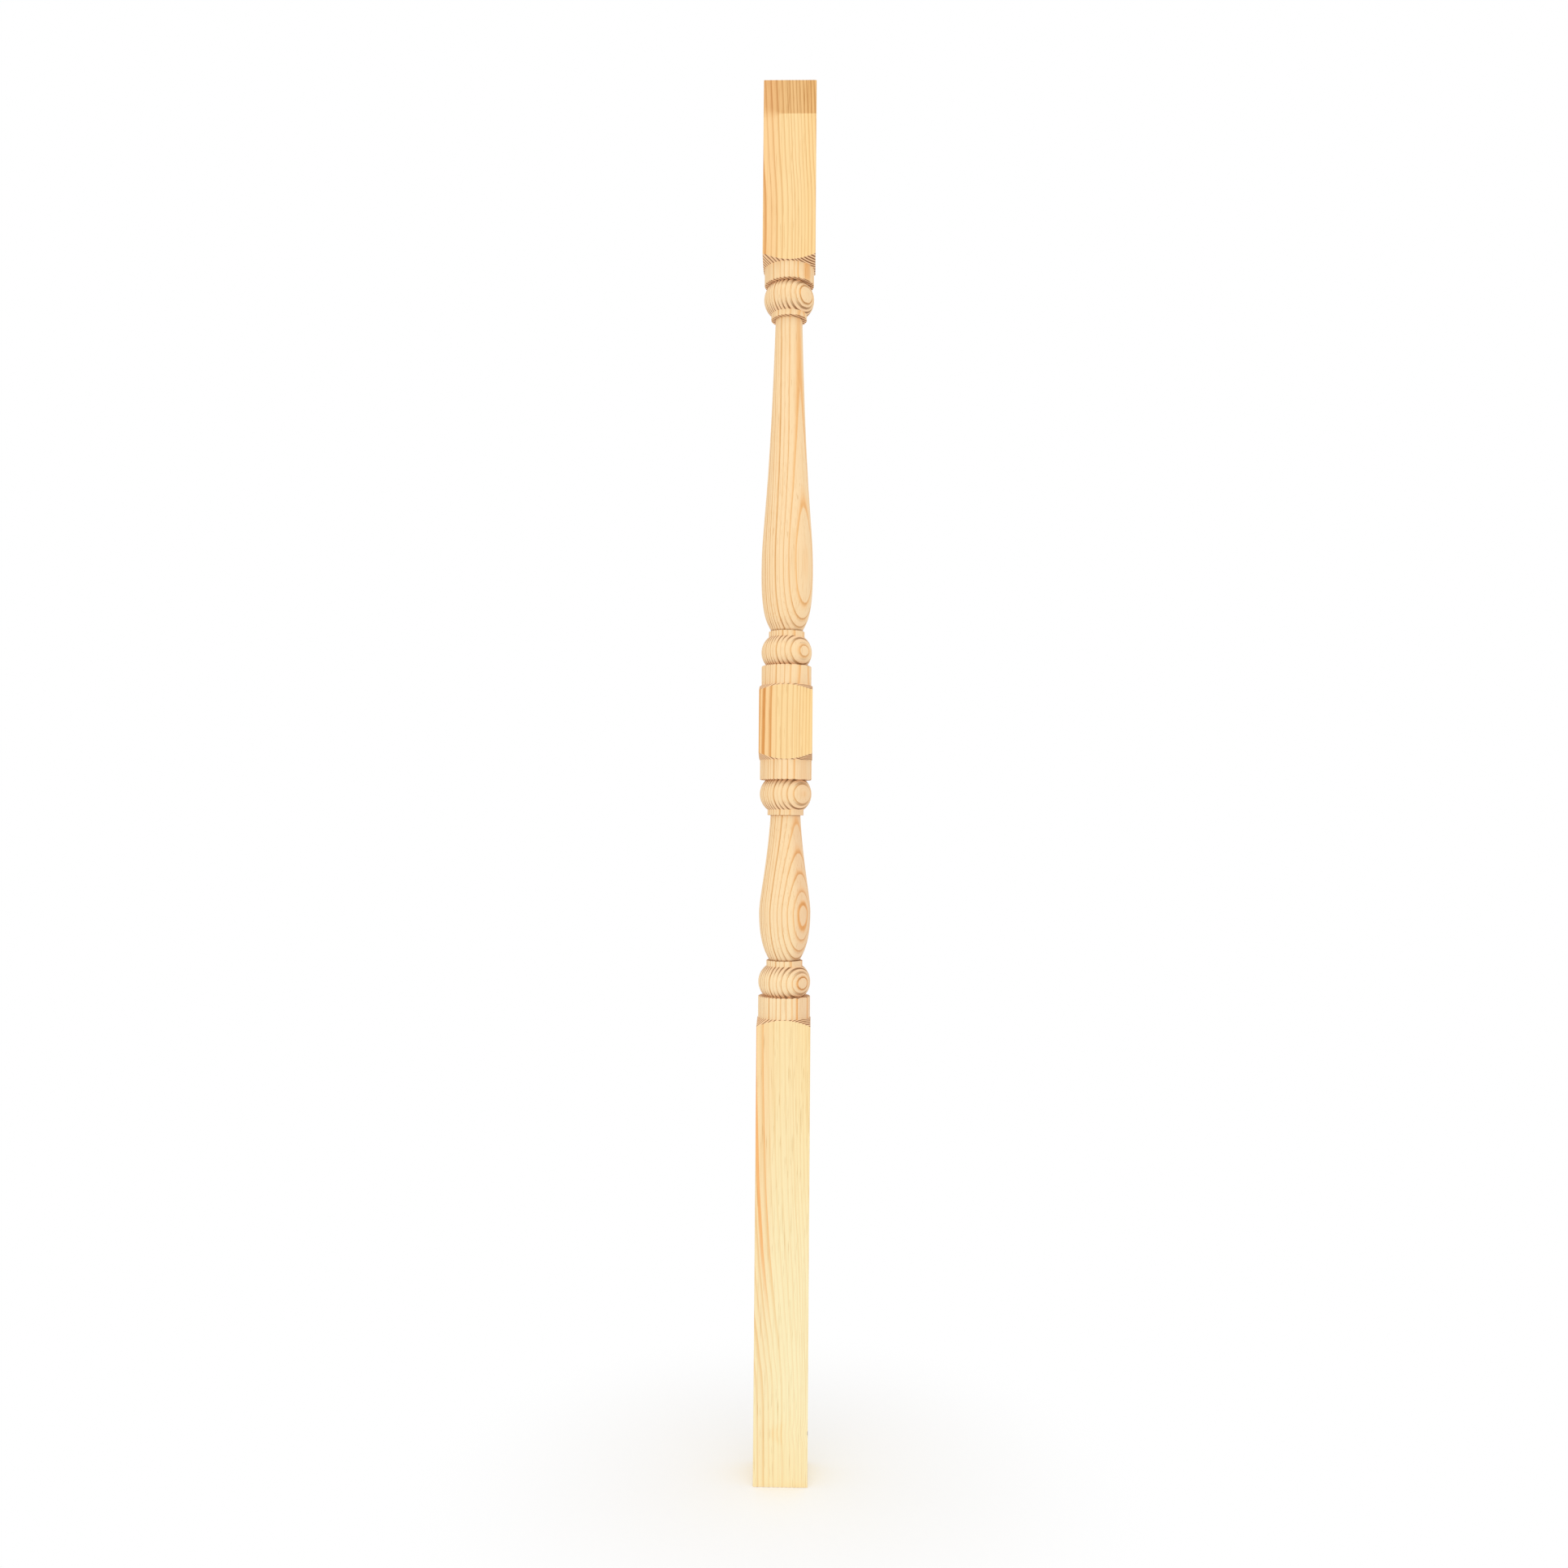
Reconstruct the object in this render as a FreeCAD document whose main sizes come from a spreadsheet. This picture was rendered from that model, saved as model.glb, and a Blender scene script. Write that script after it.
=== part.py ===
"""Turned stair baluster, one piece of pine, in millimetres.

The blank is a square stick standing on its foot, with its axis on Z. Two stretches of it are turned
round: a short vase below the middle block and a tall one above it. Each stretch has the same members,
from its foot to its head: shoulder, collar, bead, fillet, vase, fillet, bead, collar, shoulder.
"""

import FreeCAD, Part
import Sketcher
import math
import os

NODE = "baluster"
Vector = FreeCAD.Vector
Constraint = Sketcher.Constraint

# Point numbers that a sketch constraint takes, and the number of the sketch's own origin.
START = 1
END = 2
CENTRE = 3
ORIGIN = -1

SIZES = {
    # The blank, and the square blocks that are left on it. The foot block is what remains of the length.
    "length": 1100.0,
    "side": 42.0,
    "arris": 0.6,
    "head_block": 144.2,
    "middle_block": 58.7,
    # How far the cut climbs from the middle of a flat to the block's corner.
    "shoulder_rise": 4.5,
    # Collars: the round bands next to the blocks.
    "upper_collar_dia": 39.7,
    "lower_collar_dia": 41.1,
    "collar_ease": 0.8,
    "upper_head_collar": 14.0,
    "upper_foot_collar": 16.0,
    "lower_head_collar": 16.0,
    "lower_foot_collar": 17.0,
    # Beads: round swellings, each one arc, and the plain fillets between them and the vases.
    "upper_bead_dia": 40.2,
    "lower_bead_dia": 41.1,
    "bead_arc": 15.5,
    "bead_seat": 11.1,
    "fillet_dia": 28.6,
    "fillet_height": 4.4,
    # The tall vase. A lean or spread is across the axis, a run, rise, fall or lift is along it.
    "upper_vase": 252.0,
    "upper_neck_dia": 21.5,
    "upper_neck_lean": 4.4,
    "upper_neck_run": 158.0,
    "upper_belly_dia": 41.2,
    "upper_belly_height": 47.3,
    "upper_belly_rise": 42.0,
    "upper_belly_fall": 40.0,
    "upper_foot_dia": 25.0,
    "upper_foot_spread": 1.5,
    "upper_foot_lift": 6.8,
    # The short vase.
    "lower_vase": 114.7,
    "lower_neck_dia": 23.7,
    "lower_neck_lean": 2.1,
    "lower_neck_run": 37.0,
    "lower_belly_dia": 40.7,
    "lower_belly_height": 38.0,
    "lower_belly_rise": 11.0,
    "lower_belly_fall": 26.5,
    "lower_foot_dia": 24.4,
    "lower_foot_spread": 1.5,
    "lower_foot_lift": 4.2,
    # The mark that the turning centre leaves in each end.
    "centre_dia": 6.0,
    "centre_depth": 4.0,
}

doc = FreeCAD.newDocument("baluster")
sheet = doc.addObject("Spreadsheet::Sheet", "sizes")
for row, (alias, value) in enumerate(SIZES.items(), start=1):
    sheet.set(f"A{row}", alias)
    sheet.set(f"B{row}", str(value))
    sheet.setAlias(f"B{row}", alias)
doc.recompute()

# Heights and radii that follow from the sizes, each as a formula on the sheet.
HALF_SIDE = "sizes.side / 2"
SLOPE = "(sizes.shoulder_rise / (sizes.side * (sqrt(2) - 1) / 2))"
# The cutter's outer limit stands clear of the blank's corners, which are at 0.71 of the side.
SWING = "sizes.side * 0.75"


def collar_drop(which):
    """How far a shoulder's root lies past the height at which it crosses the middle of a flat."""
    return f"({SLOPE} * (sizes.side - sizes.{which}_collar_dia) / 2)"


def shoulder_run(which):
    """How far the cutter's edge climbs from a shoulder's root to its outer limit."""
    return f"{SLOPE} * ({SWING} - sizes.{which}_collar_dia / 2)"


def origin_plane(body, role):
    """The body's own origin plane with this role."""
    return next(plane for plane in body.Origin.OriginFeatures if plane.Role == role)


def new_sketch(body, name, role):
    """An empty sketch on one of the body's origin planes."""
    sketch = body.newObject("Sketcher::SketchObject", name)
    sketch.AttachmentSupport = (origin_plane(body, role), "")
    sketch.MapMode = "FlatFace"
    return sketch


def drive(sketch, formula, kind, *refs):
    """Add a dimension to a sketch and bind it to a formula on the sheet."""
    index = sketch.addConstraint(Constraint(kind, *refs, worth(formula)))
    sketch.setExpression(f"Constraints[{index}]", formula)
    return index


def worth(formula):
    """The formula's present value, for a first sketch that already lies where it will be solved."""
    return float(sheet.evalExpression(formula))


def line(sketch, start, end):
    """A straight edge, held upright or level if it is drawn so."""
    index = sketch.addGeometry(Part.LineSegment(start, end))
    if start.x == end.x:
        sketch.addConstraint(Constraint("Vertical", index))
    elif start.y == end.y:
        sketch.addConstraint(Constraint("Horizontal", index))
    return index


def arc(sketch, centre, radius, first_angle, last_angle):
    """A round edge, counter-clockwise between two angles in radians."""
    circle = Part.Circle(centre, Vector(0, 0, 1), radius)
    return sketch.addGeometry(Part.ArcOfCircle(circle, first_angle, last_angle))


def spline(sketch, poles):
    """A cubic edge on four poles, and the numbers of the construction circles that carry the poles."""
    curve = Part.BSplineCurve()
    curve.buildFromPolesMultsKnots(poles, [4, 4], [0.0, 1.0], False, 3)
    index = sketch.addGeometry(curve)
    circles = []
    for number, pole in enumerate(poles):
        circle = sketch.addGeometry(Part.Circle(pole, Vector(0, 0, 1), 1.0), True)
        if circles:
            sketch.addConstraint(Constraint("Equal", circles[0], circle))
        else:
            sketch.addConstraint(Constraint("Weight", circle, 1.0))
        role = "InternalAlignment:Sketcher::BSplineControlPoint"
        sketch.addConstraint(Constraint(role, circle, CENTRE, index, number))
        circles.append(circle)
    return index, circles


def place_pole(sketch, circle, radius_formula, base, height_formula):
    """Hold a pole at a radius from the axis and at a height from a base point."""
    drive(sketch, radius_formula, "DistanceX", ORIGIN, START, circle, CENTRE)
    drive(sketch, height_formula, "DistanceY", *base, circle, CENTRE)


def add_vase(sketch, which, foot_height):
    """Draw one vase from its foot to its neck: a lower and an upper curve that meet upright at the belly."""
    size = {name: f"sizes.{which}_{name}" for name in (
        "vase", "neck_dia", "neck_lean", "neck_run", "belly_dia", "belly_height",
        "belly_rise", "belly_fall", "foot_dia", "foot_spread", "foot_lift",
    )}
    foot_radius = f"{size['foot_dia']} / 2"
    belly_radius = f"{size['belly_dia']} / 2"
    neck_radius = f"{size['neck_dia']} / 2"
    foot = Vector(worth(foot_radius), foot_height, 0)
    foot_pole = foot + Vector(worth(size["foot_spread"]), worth(size["foot_lift"]), 0)
    belly = Vector(worth(belly_radius), foot_height + worth(size["belly_height"]), 0)
    fall_pole = belly - Vector(0, worth(size["belly_fall"]), 0)
    rise_pole = belly + Vector(0, worth(size["belly_rise"]), 0)
    neck = Vector(worth(neck_radius), foot_height + worth(size["vase"]), 0)
    neck_pole = neck + Vector(worth(size["neck_lean"]), -worth(size["neck_run"]), 0)

    lower, low_poles = spline(sketch, [foot, foot_pole, fall_pole, belly])
    upper, high_poles = spline(sketch, [belly, rise_pole, neck_pole, neck])
    sketch.addConstraint(Constraint("Coincident", lower, END, upper, START))
    base = (lower, START)
    drive(sketch, foot_radius, "DistanceX", ORIGIN, START, lower, START)
    place_pole(sketch, low_poles[1], f"{foot_radius} + {size['foot_spread']}", base, size["foot_lift"])
    place_pole(sketch, low_poles[2], belly_radius, base, f"{size['belly_height']} - {size['belly_fall']}")
    drive(sketch, belly_radius, "DistanceX", ORIGIN, START, lower, END)
    drive(sketch, size["belly_height"], "DistanceY", *base, lower, END)
    place_pole(sketch, high_poles[1], belly_radius, base, f"{size['belly_height']} + {size['belly_rise']}")
    neck_start = f"{size['vase']} - {size['neck_run']}"
    place_pole(sketch, high_poles[2], f"{neck_radius} + {size['neck_lean']}", base, neck_start)
    drive(sketch, neck_radius, "DistanceX", ORIGIN, START, upper, END)
    drive(sketch, size["vase"], "DistanceY", *base, upper, END)
    return lower, upper, neck.y


def add_stretch(sketch, which, foot_shoulder):
    """Draw the closed outline that the cutter clears for one turned stretch.

    Takes the height at which its lower shoulder crosses the middle of a flat, and gives back the
    numbers of its two collar edges, whose outer ends are the roots of the shoulders.
    """
    collar_radius = f"sizes.{which}_collar_dia / 2"
    bead_centre = f"sizes.{which}_bead_dia / 2 - sizes.bead_arc"
    collar = worth(collar_radius)
    ease = worth("sizes.collar_ease")
    swing = worth(SWING)
    fillet = worth("sizes.fillet_dia / 2")
    bead_arc = worth("sizes.bead_arc")
    bead_axis = worth(bead_centre)
    seat = worth("sizes.bead_seat")
    bead_reach = math.sqrt(bead_arc ** 2 - (fillet - bead_axis) ** 2)
    quirk = bead_axis + math.sqrt(bead_arc ** 2 - seat ** 2)
    quirk_angle = math.asin(seat / bead_arc)
    reach_angle = math.asin(bead_reach / bead_arc)

    # The lower half, drawn upwards from the shoulder.
    drop = worth(collar_drop(which))
    run = worth(shoulder_run(which))
    vase_radius = worth(f"sizes.{which}_foot_dia / 2")
    root = foot_shoulder + drop
    face = foot_shoulder + worth(f"sizes.{which}_foot_collar")
    bead = face + seat
    step = bead + bead_reach
    vase_foot = step + worth("sizes.fillet_height")
    foot_slope = line(sketch, Vector(swing, root - run, 0), Vector(collar, root, 0))
    foot_collar = line(sketch, Vector(collar, root, 0), Vector(collar, face - ease, 0))
    foot_ease = arc(sketch, Vector(collar - ease, face - ease, 0), ease, 0, math.pi / 2)
    foot_face = line(sketch, Vector(collar - ease, face, 0), Vector(quirk, face, 0))
    foot_bead = arc(sketch, Vector(bead_axis, bead, 0), bead_arc, -quirk_angle, reach_angle)
    foot_fillet = line(sketch, Vector(fillet, step, 0), Vector(fillet, vase_foot, 0))
    foot_step = line(sketch, Vector(fillet, vase_foot, 0), Vector(vase_radius, vase_foot, 0))

    vase_low, vase_high, vase_neck = add_vase(sketch, which, vase_foot)

    # The upper half, the same members in the other order.
    step = vase_neck + worth("sizes.fillet_height")
    bead = step + bead_reach
    face = bead + seat
    head_shoulder = face + worth(f"sizes.{which}_head_collar")
    neck_radius = worth(f"sizes.{which}_neck_dia / 2")
    root = head_shoulder - drop
    head_step = line(sketch, Vector(neck_radius, vase_neck, 0), Vector(fillet, vase_neck, 0))
    head_fillet = line(sketch, Vector(fillet, vase_neck, 0), Vector(fillet, step, 0))
    head_bead = arc(sketch, Vector(bead_axis, bead, 0), bead_arc, -reach_angle, quirk_angle)
    head_face = line(sketch, Vector(quirk, face, 0), Vector(collar - ease, face, 0))
    head_ease = arc(sketch, Vector(collar - ease, face + ease, 0), ease, -math.pi / 2, 0)
    head_collar = line(sketch, Vector(collar, face + ease, 0), Vector(collar, root, 0))
    head_slope = line(sketch, Vector(collar, root, 0), Vector(swing, root + run, 0))
    outside = line(sketch, Vector(swing, root + run, 0), Vector(swing, foot_shoulder + drop - run, 0))

    # Each edge starts where the one before it ends, and the eased edges run on smoothly.
    joined = [
        (foot_slope, foot_collar), (foot_face, foot_bead), (foot_bead, foot_fillet), (foot_fillet, foot_step),
        (foot_step, vase_low), (vase_high, head_step), (head_step, head_fillet), (head_fillet, head_bead),
        (head_bead, head_face), (head_collar, head_slope), (head_slope, outside), (outside, foot_slope),
    ]
    for before, after in joined:
        sketch.addConstraint(Constraint("Coincident", before, END, after, START))
    smooth = [
        (foot_collar, foot_ease), (foot_ease, foot_face), (head_face, head_ease), (head_ease, head_collar),
    ]
    for before, after in smooth:
        sketch.addConstraint(Constraint("Tangent", before, END, after, START))

    for collar_edge, face_edge, ease_edge in (
        (foot_collar, foot_face, foot_ease), (head_collar, head_face, head_ease)
    ):
        drive(sketch, collar_radius, "DistanceX", ORIGIN, START, collar_edge, END)
        drive(sketch, "sizes.collar_ease", "Radius", ease_edge)
    for fillet_edge in (foot_fillet, head_fillet):
        drive(sketch, "sizes.fillet_dia / 2", "DistanceX", ORIGIN, START, fillet_edge, START)
        drive(sketch, "sizes.fillet_height", "DistanceY", fillet_edge, START, fillet_edge, END)
    for bead_edge in (foot_bead, head_bead):
        drive(sketch, "sizes.bead_arc", "Radius", bead_edge)
        drive(sketch, bead_centre, "DistanceX", ORIGIN, START, bead_edge, CENTRE)
    drive(sketch, "sizes.bead_seat", "DistanceY", foot_bead, START, foot_bead, CENTRE)
    drive(sketch, "sizes.bead_seat", "DistanceY", head_bead, CENTRE, head_bead, END)
    foot_band = f"sizes.{which}_foot_collar - {collar_drop(which)}"
    head_band = f"sizes.{which}_head_collar - {collar_drop(which)}"
    drive(sketch, foot_band, "DistanceY", foot_collar, START, foot_face, START)
    drive(sketch, head_band, "DistanceY", head_face, END, head_collar, END)
    drive(sketch, SWING, "DistanceX", ORIGIN, START, outside, START)
    drive(sketch, shoulder_run(which), "DistanceY", foot_slope, START, foot_slope, END)
    drive(sketch, shoulder_run(which), "DistanceY", head_slope, START, head_slope, END)
    return foot_collar, head_collar, head_shoulder


def stretch_height(which):
    """How tall one turned stretch is, between its shoulders."""
    bead_axis = worth(f"sizes.{which}_bead_dia / 2 - sizes.bead_arc")
    reach = math.sqrt(SIZES["bead_arc"] ** 2 - (SIZES["fillet_dia"] / 2 - bead_axis) ** 2)
    moulding = SIZES["bead_seat"] + reach + SIZES["fillet_height"]
    collars = SIZES[f"{which}_foot_collar"] + SIZES[f"{which}_head_collar"]
    return collars + 2 * moulding + SIZES[f"{which}_vase"]


def check(feature):
    """Stop if a feature has failed or has no sound shape."""
    if "Invalid" in feature.State or "Error" in feature.State:
        raise RuntimeError(f"{feature.Name} did not build: {feature.State}")
    if feature.Shape.isNull() or not feature.Shape.isValid():
        raise RuntimeError(f"{feature.Name} has no sound shape")


body = doc.addObject("PartDesign::Body", NODE)
body.Label = NODE

# The square blank, planed and with its long edges just taken off.
section = new_sketch(body, "blank_section", "XY_Plane")
half = worth(HALF_SIDE)
corners = [Vector(-half, -half, 0), Vector(half, -half, 0), Vector(half, half, 0), Vector(-half, half, 0)]
flats = [line(section, corners[i], corners[(i + 1) % 4]) for i in range(4)]
for i in range(4):
    section.addConstraint(Constraint("Coincident", flats[i], END, flats[(i + 1) % 4], START))
section.addConstraint(Constraint("Symmetric", flats[0], START, flats[1], END, ORIGIN, START))
drive(section, "sizes.side", "DistanceX", flats[0], START, flats[0], END)
drive(section, "sizes.side", "DistanceY", flats[1], START, flats[1], END)

blank = body.newObject("PartDesign::Pad", "blank")
blank.Profile = section
blank.setExpression("Length", "sizes.length")
doc.recompute()

long_edges = [
    f"Edge{number}"
    for number, edge in enumerate(blank.Shape.Edges, start=1)
    if abs(edge.tangentAt(edge.FirstParameter).z) > 0.99
]
eased = body.newObject("PartDesign::Fillet", "eased_edges")
eased.Base = (blank, long_edges)
eased.setExpression("Radius", "sizes.arris")
doc.recompute()

# The turning, as the outline of what the cutter takes away.
turning_profile = new_sketch(body, "turning_profile", "XZ_Plane")
upper_shoulder = SIZES["length"] - SIZES["head_block"] - stretch_height("upper")
lower_shoulder = upper_shoulder - SIZES["middle_block"] - stretch_height("lower")
lower_foot, lower_head, _ = add_stretch(turning_profile, "lower", lower_shoulder)
upper_foot, upper_head, _ = add_stretch(turning_profile, "upper", upper_shoulder)
drive(
    turning_profile,
    f"sizes.length - sizes.head_block - {collar_drop('upper')}",
    "DistanceY", ORIGIN, START, upper_head, END,
)
drive(
    turning_profile,
    f"sizes.middle_block + {collar_drop('lower')} + {collar_drop('upper')}",
    "DistanceY", lower_head, END, upper_foot, START,
)
doc.recompute()

turning = body.newObject("PartDesign::Groove", "turning")
turning.Profile = turning_profile
turning.ReferenceAxis = (turning_profile, ["V_Axis"])
turning.Angle = 360.0
doc.recompute()

# The small cone that the lathe's centre presses into each end.
centre_profile = new_sketch(body, "centre_profile", "XZ_Plane")
rim = worth("sizes.centre_dia / 2")
depth = worth("sizes.centre_depth")
for end_height, inward in ((0.0, 1), (SIZES["length"], -1)):
    tip = Vector(0, end_height + inward * depth, 0)
    mouth = line(centre_profile, Vector(0, end_height, 0), Vector(rim, end_height, 0))
    cone = line(centre_profile, Vector(rim, end_height, 0), tip)
    axis = line(centre_profile, tip, Vector(0, end_height, 0))
    for before, after in ((mouth, cone), (cone, axis), (axis, mouth)):
        centre_profile.addConstraint(Constraint("Coincident", before, END, after, START))
    drive(centre_profile, "sizes.centre_dia / 2", "DistanceX", mouth, START, mouth, END)
    if inward > 0:
        centre_profile.addConstraint(Constraint("Coincident", mouth, START, ORIGIN, START))
        drive(centre_profile, "sizes.centre_depth", "DistanceY", axis, END, axis, START)
    else:
        centre_profile.addConstraint(Constraint("PointOnObject", mouth, START, -2))
        drive(centre_profile, "sizes.length", "DistanceY", ORIGIN, START, mouth, START)
        drive(centre_profile, "sizes.centre_depth", "DistanceY", axis, START, axis, END)
doc.recompute()

centres = body.newObject("PartDesign::Groove", "centre_marks")
centres.Profile = centre_profile
centres.ReferenceAxis = (centre_profile, ["V_Axis"])
centres.Angle = 360.0
doc.recompute()

for sketch in (section, turning_profile, centre_profile):
    if sketch.solve() != 0:
        raise RuntimeError(f"{sketch.Name} is not solved")
for feature in (section, blank, eased, turning_profile, turning, centre_profile, centres, body):
    check(feature)
for before, after in ((blank, eased), (eased, turning), (turning, centres)):
    if after.Shape.Volume >= before.Shape.Volume:
        raise RuntimeError(f"{after.Name} takes nothing away")
if len(body.Shape.Solids) != 1:
    raise RuntimeError("the baluster is not one solid")

os.makedirs("parts", exist_ok=True)
body.Shape.exportStep(f"parts/{body.Label}.step")
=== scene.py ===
"""Looks of a turned stair baluster: one square stick of pine with two stretches turned round.

The stick is rebuilt here as a fine mesh over the coarser solid of the frame, with the same sizes, and is
dressed in pine whose growth rings run through the whole solid, so every cut shows the figure it should.
"""

import logging
import math
from dataclasses import dataclass
from enum import Enum
from itertools import pairwise
from typing import Iterable, Sequence, Union

import bmesh
import bpy
import numpy as np
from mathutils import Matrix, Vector


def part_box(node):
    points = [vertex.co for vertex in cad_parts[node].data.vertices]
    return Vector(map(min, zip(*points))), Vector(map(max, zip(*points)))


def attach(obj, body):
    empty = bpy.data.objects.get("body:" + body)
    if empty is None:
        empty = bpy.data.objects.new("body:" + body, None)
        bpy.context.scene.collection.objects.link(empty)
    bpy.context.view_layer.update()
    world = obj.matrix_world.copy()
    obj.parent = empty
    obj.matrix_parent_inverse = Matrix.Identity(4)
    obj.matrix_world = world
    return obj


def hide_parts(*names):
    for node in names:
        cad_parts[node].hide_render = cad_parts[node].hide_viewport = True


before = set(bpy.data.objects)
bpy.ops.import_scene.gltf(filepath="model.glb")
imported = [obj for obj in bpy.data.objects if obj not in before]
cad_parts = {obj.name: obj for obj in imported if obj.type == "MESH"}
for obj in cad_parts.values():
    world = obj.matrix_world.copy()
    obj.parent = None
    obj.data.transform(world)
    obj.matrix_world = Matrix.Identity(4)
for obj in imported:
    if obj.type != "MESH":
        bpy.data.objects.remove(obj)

LOG = logging.getLogger("baluster")
MM = 0.001
CLEARANCE = 0.001 * MM
NODE = "baluster"
BODY = "root"

Socket = bpy.types.NodeSocket
Number = Union["Term", float]
Point = tuple[float, float]
Span = tuple[float, float]
Colour = tuple[float, float, float]


class Cut(Enum):
    """How a surface of the stick was cut."""

    SAWN = "sawn"
    PLANED = "planed"
    TURNED = "turned"


@dataclass(frozen=True)
class Term:
    """A number somewhere in a node tree, which can be written with in formulas."""

    wiring: "Wiring"
    socket: Socket

    def __add__(self, other: Number) -> "Term":
        """The sum of the two."""
        return self.wiring.maths("ADD", self, other)

    def __sub__(self, other: Number) -> "Term":
        """This less the other."""
        return self.wiring.maths("SUBTRACT", self, other)

    def __rsub__(self, other: float) -> "Term":
        """The other less this."""
        return self.wiring.maths("SUBTRACT", other, self)

    def __mul__(self, other: Number) -> "Term":
        """The product of the two."""
        return self.wiring.maths("MULTIPLY", self, other)

    def __truediv__(self, other: Number) -> "Term":
        """This over the other."""
        return self.wiring.maths("DIVIDE", self, other)

    __radd__ = __add__
    __rmul__ = __mul__

    def raised(self, least: float) -> "Term":
        """This share of 1, drawn up so that it starts at the least."""
        return self * (1.0 - least) + least

    def ramp(self, low: float, high: float) -> "Term":
        """How far this has come from low to high, eased in and out.

        Args:
            low: Where the result is 0.
            high: Where it is 1.

        Returns:
            The share, held between 0 and 1.
        """
        inputs = {"Value": self, "From Min": low, "From Max": high}
        made = self.wiring.node("ShaderNodeMapRange", inputs, interpolation_type="SMOOTHSTEP")
        return self.wiring.term(made.outputs["Result"])

    def course(self, points: Sequence[Point]) -> "Term":
        """A smooth curve through a few points.

        Args:
            points: Pairs of where and how much, from first to last.

        Returns:
            How much there is at this number.
        """
        first, last = points[0][0], points[-1][0]
        least = min(amount for _, amount in points)
        most = max(amount for _, amount in points)
        made = self.wiring.node("ShaderNodeFloatCurve", {"Value": (self - first) / (last - first)})
        drawn = made.mapping.curves[0].points
        for _ in range(len(points) - 2):
            drawn.new(0.5, 0.5)
        for spot, (where, amount) in zip(drawn, points):
            spot.location = ((where - first) / (last - first), (amount - least) / (most - least))
            spot.handle_type = "AUTO_CLAMPED"
        made.mapping.update()
        return self.wiring.term(made.outputs[0]) * (most - least) + least


class Wiring:
    """Adds nodes to one tree and joins them."""

    # Numbers of a Mix node's sockets for colours: the share and the two colours, and the result.
    MIX_INPUTS = (0, 6, 7)
    MIX_OUTPUT = 2

    def __init__(self, tree: bpy.types.NodeTree) -> None:
        """Start on a tree."""
        self.tree = tree

    def node(self, kind: str, inputs: dict | None = None, **settings: object) -> bpy.types.Node:
        """Add one node.

        Args:
            kind: The node's type name.
            inputs: What goes into its sockets, by name or number.
            settings: Its own settings.

        Returns:
            The new node.
        """
        made = self.tree.nodes.new(kind)
        for name, value in settings.items():
            setattr(made, name, value)
        for key, value in (inputs or {}).items():
            self.feed(made.inputs[key], value)
        return made

    def feed(self, socket: Socket, value: object) -> None:
        """Link a socket to a term or another socket, or set its constant.

        Args:
            socket: The input to feed.
            value: A term, a socket or a constant.
        """
        if isinstance(value, Term):
            value = value.socket
        if isinstance(value, bpy.types.NodeSocket):
            self.tree.links.new(value, socket)
        else:
            socket.default_value = (*value, 1.0) if socket.type == "RGBA" else value

    def term(self, socket: Socket) -> Term:
        """The number that a socket gives."""
        return Term(self, socket)

    def maths(self, operation: str, *values: Number) -> Term:
        """A sum, a function or a comparison of numbers."""
        made = self.node("ShaderNodeMath", dict(enumerate(values)), operation=operation)
        return self.term(made.outputs[0])

    def split(self, vector: Socket) -> tuple[Term, Term, Term]:
        """The three numbers of a vector."""
        made = self.node("ShaderNodeSeparateXYZ", {0: vector})
        return tuple(self.term(socket) for socket in made.outputs)

    def joined(self, *numbers: Number) -> Socket:
        """A vector of three numbers."""
        return self.node("ShaderNodeCombineXYZ", dict(enumerate(numbers))).outputs[0]

    def mixed(self, share: Number, first: object, second: object, blend: str = "MIX") -> Socket:
        """Two colours mixed.

        Args:
            share: How much of the second.
            first: The first colour.
            second: The second colour.
            blend: How they are mixed.

        Returns:
            The colour.
        """
        inputs = dict(zip(self.MIX_INPUTS, (share, first, second)))
        made = self.node("ShaderNodeMix", inputs, data_type="RGBA", blend_type=blend)
        return made.outputs[self.MIX_OUTPUT]

    def tinted(self, share: Number, colour: object, tint: object) -> Socket:
        """A colour multiplied by a share of a tint."""
        return self.mixed(share, colour, tint, "MULTIPLY")


def in_scene(name: str, data: bpy.types.ID) -> bpy.types.Object:
    """Put a new object into the scene.

    Args:
        name: Its name.
        data: Its mesh, lamp or camera.

    Returns:
        The object.
    """
    made = bpy.data.objects.new(name, data)
    bpy.context.scene.collection.objects.link(made)
    return made


def settled(shape: bpy.types.Object) -> bpy.types.Mesh:
    """The plain mesh that an object's modifiers give."""
    return bpy.data.meshes.new_from_object(shape.evaluated_get(bpy.context.evaluated_depsgraph_get()))


@dataclass(frozen=True)
class Row:
    """One ring of points round the stick, which is round, square or on the way between the two.

    Attributes:
        radius: Radius of the round form.
        height: Height of the round form.
        square: 0 on the round form, 1 on the square blank.
        climb: How far a point rises for each metre that it stands outside the radius.
        cut: How the surface was cut.
        corner_shade: 1 in a corner that gets painted shade, else 0.
    """

    radius: float
    height: float
    square: float = 0.0
    climb: float = 0.0
    cut: Cut = Cut.TURNED
    corner_shade: float = 0.0

    def spot(self, reach: float) -> Vector:
        """Radius and height of the row where the blank reaches so far from the axis."""
        radius = self.radius + self.square * (reach - self.radius)
        return Vector((radius, self.height + self.climb * (radius - self.radius)))


def shares(count: int, start: float = 0.0, end: float = 1.0) -> Iterable[float]:
    """Numbers from start to end, both included, with a count of even steps between them."""
    return (start + (end - start) * step / count for step in range(count + 1))


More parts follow.
